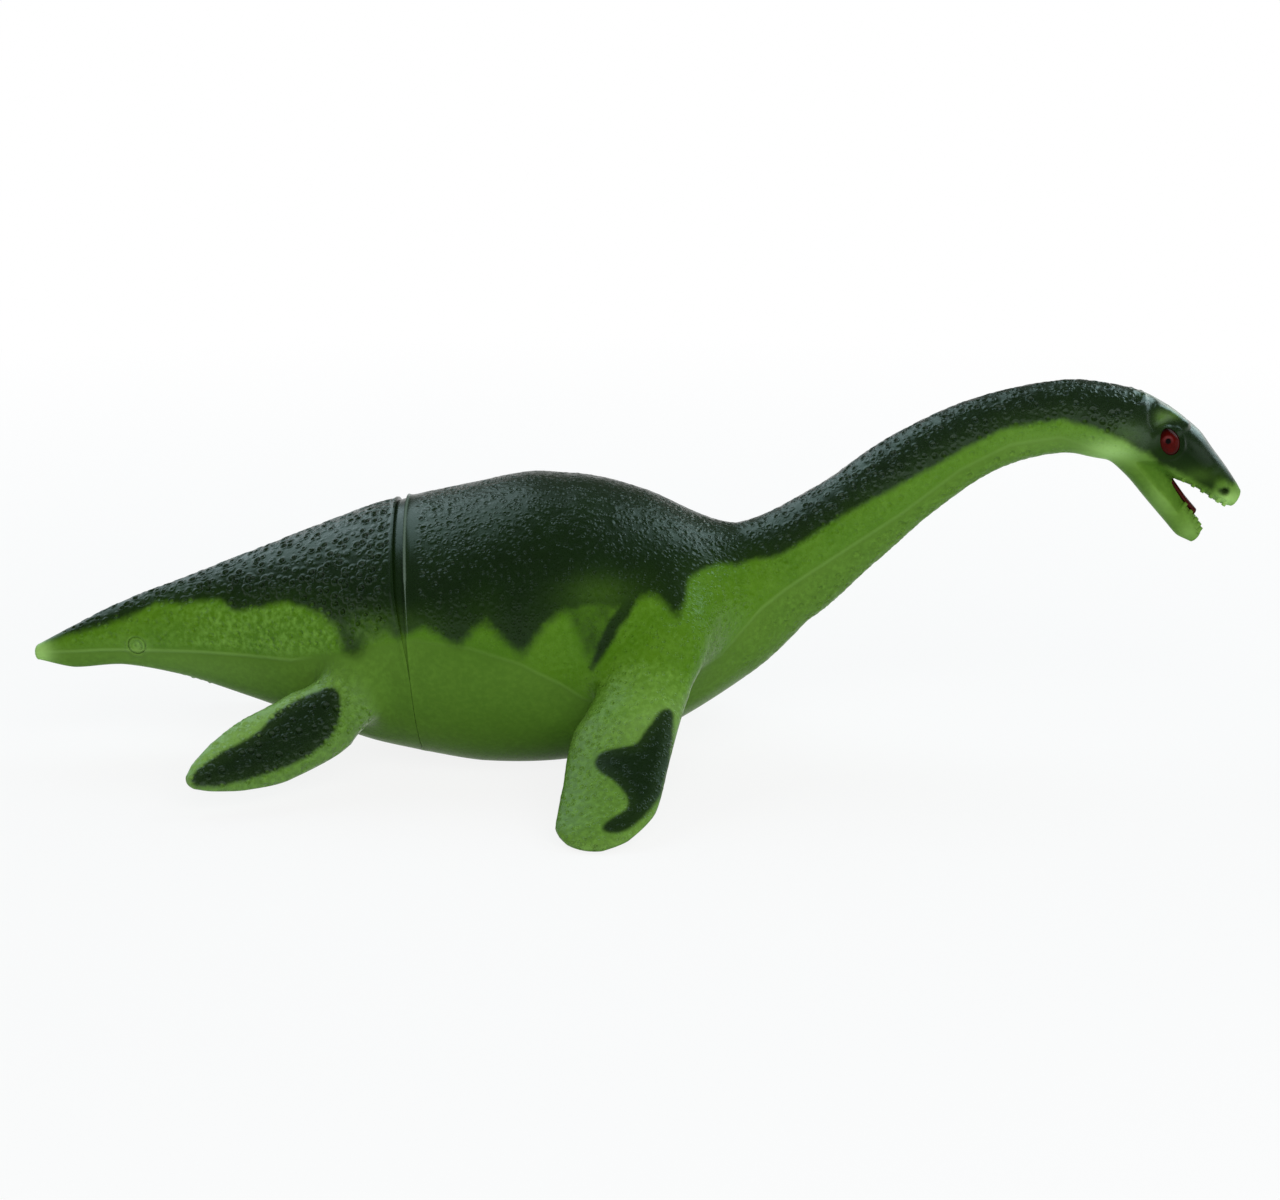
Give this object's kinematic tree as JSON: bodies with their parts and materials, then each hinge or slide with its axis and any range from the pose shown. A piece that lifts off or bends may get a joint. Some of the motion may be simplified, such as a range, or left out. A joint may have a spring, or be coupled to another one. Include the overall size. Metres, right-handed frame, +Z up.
{
  "type": "toy sea monster figure",
  "caption": "Long-necked swimming reptile toy of soft hollow vinyl, open jaws, paddle flippers and a tapering tail, its front and hind castings plugged together so the hind part can turn.",
  "frame": {"origin": "middle of the flat the belly rests on, at the ground", "axes": "+X to the head, +Y to the figure's left, +Z up"},
  "size_m": [0.383, 0.1972, 0.1222],
  "materials": {
    "vinyl": "satin",
    "eye_enamel": "gloss",
    "mouth_paint": "satin",
    "fibre": "matte"
  },
  "bodies": {
    "front_body": {"front_casting": "vinyl", "right_eye": "eye_enamel", "left_eye": "eye_enamel", "tongue": "mouth_paint", "neck_filling": "fibre", "chest_filling": "fibre"},
    "rear_body": {"rear_casting": "vinyl", "tail_vent_plug": "vinyl", "hind_filling": "fibre"}
  },
  "joints": [
    {"name": "body_swivel", "type": "hinge", "parent": "front_body", "child": "rear_body", "pos_m": [-0.0302, 0, 0.0435], "axis": [0.9978, 0, 0.0663], "range_deg": [-30, 30]}
  ]
}
